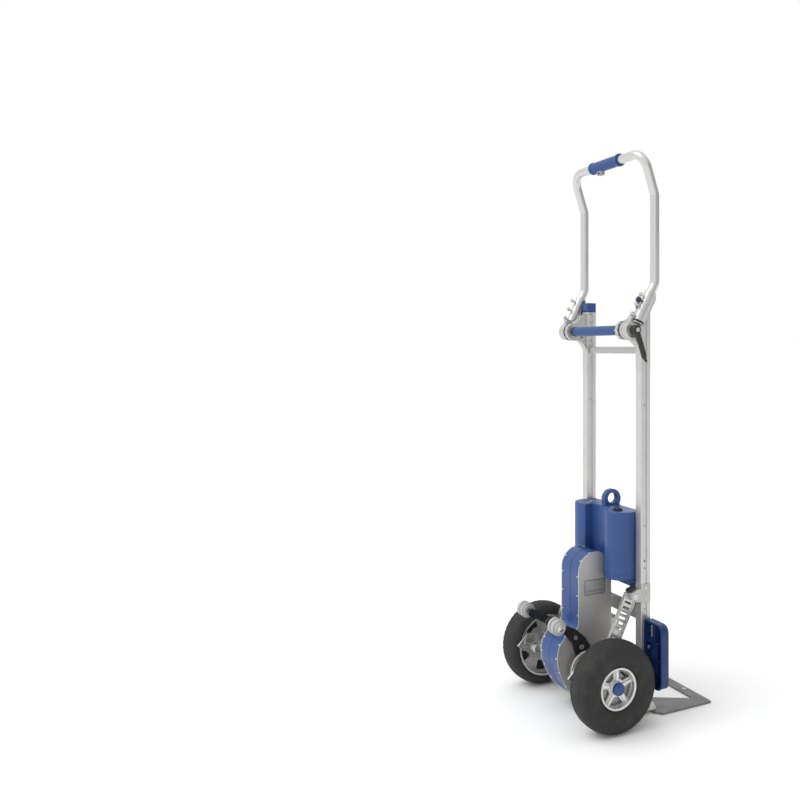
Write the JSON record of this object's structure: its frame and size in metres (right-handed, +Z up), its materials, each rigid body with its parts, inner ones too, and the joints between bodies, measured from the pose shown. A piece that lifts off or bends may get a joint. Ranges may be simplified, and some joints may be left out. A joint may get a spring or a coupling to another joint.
{
  "type": "stair climbing trolley",
  "caption": "Upright powered hand trolley with a toe plate, tyred wheels, a lifting crank that climbs steps, a lift-out battery and a tilting handle.",
  "frame": {"origin": "on the floor, under the middle of the trolley's outline", "axes": "+Z up along the rails, -Y to the front where the toe plate is, +X to the trolley's own left, along the wheel axle"},
  "size_m": [0.499, 0.523, 1.6775],
  "materials": {
    "blue_shell": "satin moulded plastic, mid blue",
    "blue_foam": "closed-cell foam grip, mid blue",
    "dark_plastic": "dark blue socket",
    "rail_aluminium": "silver anodised extrusion",
    "cast_alloy": "tumbled die casting",
    "bright_steel": "bright drawn steel",
    "zinc_steel": "bright zinc plated",
    "toe_plate_steel": "dull grey blasted plate",
    "white_plastic": "off-white moulding",
    "grey_plastic": "light grey polyurethane",
    "black_coat": "black satin coat",
    "tyre_rubber": "black rubber"
  },
  "bodies": {
    "frame": {"axle": "bright_steel", "toe_plate": "toe_plate_steel", "crossbar_top": "rail_aluminium", "crossbar_middle": "rail_aluminium", "crossbar_lower": "rail_aluminium", "crossbar_bottom": "rail_aluminium", "rail_left": "rail_aluminium", "rail_right": "rail_aluminium", "rail_cap_left": "blue_shell", "rail_cap_right": "blue_shell", "toe_block_left": "white_plastic", "toe_block_right": "white_plastic", "strut_left": "zinc_steel", "strut_right": "zinc_steel", "strut_bracket_left": "zinc_steel", "strut_bracket_right": "zinc_steel", "side_bracket_left": "zinc_steel", "side_bracket_right": "zinc_steel", "wheel_guard_left": "blue_shell", "wheel_guard_right": "blue_shell", "drive_side_left": "rail_aluminium", "drive_side_right": "rail_aluminium", "drive_cover_band": "blue_shell", "drive_nose": "cast_alloy", "drive_nose_cover": "white_plastic", "drive_motor": "black_coat", "reduction_gearbox": "cast_alloy", "edge_arm_left": "black_coat", "edge_arm_right": "black_coat", "battery_tray": "blue_shell", "power_connector": "dark_plastic", "hinge_bracket_left": "cast_alloy", "hinge_bracket_right": "cast_alloy"},
    "wheel_left": {"tyre_left": "tyre_rubber", "rim_left": "rail_aluminium", "hub_cap_left": "blue_shell"},
    "wheel_right": {"tyre_right": "tyre_rubber", "rim_right": "rail_aluminium", "hub_cap_right": "blue_shell"},
    "climb_crank": {"crank_gear": "bright_steel", "climb_lever_left": "cast_alloy", "climb_lever_right": "cast_alloy", "climb_foot_left": "tyre_rubber", "climb_foot_right": "tyre_rubber"},
    "guide_roller_l": {"guide_roller_left": "grey_plastic"},
    "guide_roller_r": {"guide_roller_right": "grey_plastic"},
    "edge_roller_l": {"edge_roller_left": "grey_plastic"},
    "edge_roller_r": {"edge_roller_right": "grey_plastic"},
    "battery": {"battery_case": "blue_shell", "battery_carry_ring": "blue_shell"},
    "latch": {"battery_latch": "black_coat"},
    "handle": {"handle_tube": "rail_aluminium", "handle_socket_left": "cast_alloy", "handle_socket_right": "cast_alloy", "tilt_shaft": "bright_steel", "lower_grip": "blue_foam", "top_grip": "blue_foam", "control_housing": "grey_plastic"},
    "clamp": {"clamp_lever": "black_coat"},
    "button": {"control_button": "blue_shell"}
  },
  "joints": [
    {"name": "wheel_left_spin", "type": "hinge", "parent": "frame", "child": "wheel_left", "pos_m": [0.2075, 0.1205, 0.13], "axis": [1, 0, 0], "continuous": true},
    {"name": "wheel_right_spin", "type": "hinge", "parent": "frame", "child": "wheel_right", "pos_m": [-0.2075, 0.1205, 0.13], "axis": [1, 0, 0], "continuous": true},
    {"name": "climb_crank_turn", "type": "hinge", "parent": "frame", "child": "climb_crank", "pos_m": [0, 0.1205, 0.13], "axis": [1, 0, 0], "continuous": true},
    {"name": "guide_roller_left_spin", "type": "hinge", "parent": "frame", "child": "guide_roller_l", "pos_m": [0.139, 0.0165, 0.024], "axis": [1, 0, 0], "continuous": true},
    {"name": "guide_roller_right_spin", "type": "hinge", "parent": "frame", "child": "guide_roller_r", "pos_m": [-0.139, 0.0165, 0.024], "axis": [1, 0, 0], "continuous": true},
    {"name": "edge_roller_left_spin", "type": "hinge", "parent": "frame", "child": "edge_roller_l", "pos_m": [0.0945, 0.2385, 0.283], "axis": [1, 0, 0], "continuous": true},
    {"name": "edge_roller_right_spin", "type": "hinge", "parent": "frame", "child": "edge_roller_r", "pos_m": [-0.0945, 0.2385, 0.283], "axis": [1, 0, 0], "continuous": true},
    {"name": "battery_lift", "type": "slide", "parent": "frame", "child": "battery", "axis": [0, 0, 1], "range_m": [0, 0.15]},
    {"name": "latch_slide", "type": "slide", "parent": "battery", "child": "latch", "axis": [0, 1, 0], "range_m": [0, 0.004], "stiffness_N_per_m": 300, "springref_m": -0.002},
    {"name": "handle_tilt", "type": "hinge", "parent": "frame", "child": "handle", "pos_m": [0, 0.0379, 1.1395], "axis": [1, 0, 0], "range_deg": [-60, 20]},
    {"name": "clamp_lever_turn", "type": "hinge", "parent": "handle", "child": "clamp", "pos_m": [-0.2, 0.0379, 1.1395], "axis": [1, 0, 0], "range_deg": [0, 70]},
    {"name": "button_press", "type": "slide", "parent": "handle", "child": "button", "axis": [0, -1, 0], "range_m": [0, 0.0025], "stiffness_N_per_m": 400, "springref_m": -0.001}
  ]
}
